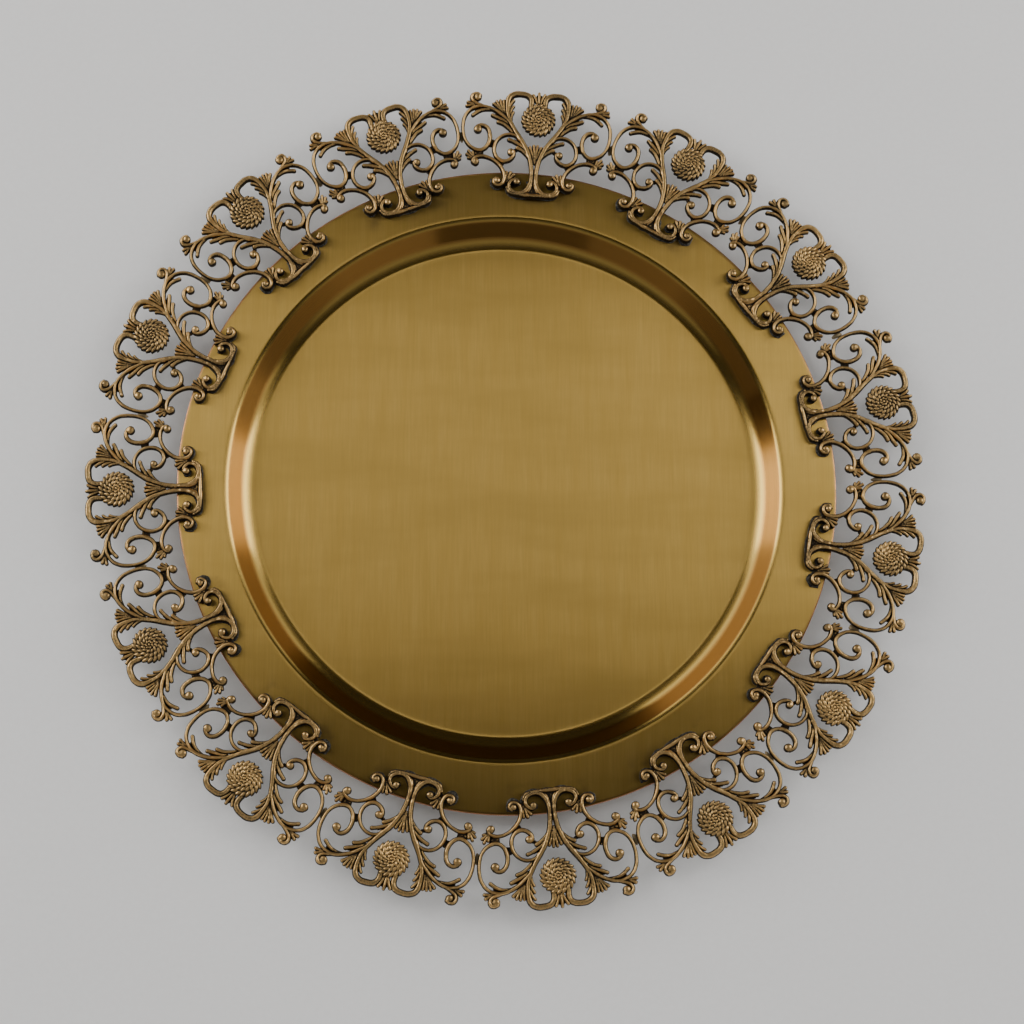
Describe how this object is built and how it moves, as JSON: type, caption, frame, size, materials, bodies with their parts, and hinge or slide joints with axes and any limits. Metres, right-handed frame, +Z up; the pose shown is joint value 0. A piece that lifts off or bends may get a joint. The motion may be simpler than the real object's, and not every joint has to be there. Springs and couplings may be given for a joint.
{
  "type": "charger tray",
  "caption": "Round spun brass charger tray with a recessed well and a border of openwork scroll castings soldered to its flange.",
  "frame": {"origin": "middle of the border of castings, on the underside of the plate's floor", "axes": "+Z up out of the well; +Y towards the casting nearest the top of the tray as it is looked down on, +X to the right"},
  "size_m": [0.3561, 0.3555, 0.0145],
  "materials": {
    "plate_brass": "hairline brushed in one direction, satin, worn bright on the fillet, with dark flux stains round the castings",
    "cast_brass": "antiqued cast brass, rubbed bright on the ridges, dark brown patina in the recesses",
    "solder": "dull brassy solder with dark flux residue"
  },
  "bodies": {
    "root": {"plate": "plate_brass", "filigree_panel_01": "cast_brass", "filigree_panel_02": "cast_brass", "filigree_panel_03": "cast_brass", "filigree_panel_04": "cast_brass", "filigree_panel_05": "cast_brass", "filigree_panel_06": "cast_brass", "filigree_panel_07": "cast_brass", "filigree_panel_08": "cast_brass", "filigree_panel_09": "cast_brass", "filigree_panel_10": "cast_brass", "filigree_panel_11": "cast_brass", "filigree_panel_12": "cast_brass", "filigree_panel_13": "cast_brass", "filigree_panel_14": "cast_brass", "filigree_panel_15": "cast_brass", "foot_solder_01": "solder", "foot_solder_02": "solder", "foot_solder_03": "solder", "foot_solder_04": "solder", "foot_solder_05": "solder", "foot_solder_06": "solder", "foot_solder_07": "solder", "foot_solder_08": "solder", "foot_solder_09": "solder", "foot_solder_10": "solder", "foot_solder_11": "solder", "foot_solder_12": "solder", "foot_solder_13": "solder", "foot_solder_14": "solder", "foot_solder_15": "solder", "side_solder_01": "solder", "side_solder_02": "solder", "side_solder_03": "solder", "side_solder_04": "solder", "side_solder_05": "solder", "side_solder_06": "solder", "side_solder_07": "solder", "side_solder_08": "solder", "side_solder_09": "solder", "side_solder_10": "solder", "side_solder_11": "solder", "side_solder_12": "solder", "side_solder_13": "solder", "side_solder_14": "solder", "side_solder_15": "solder"}
  },
  "joints": []
}
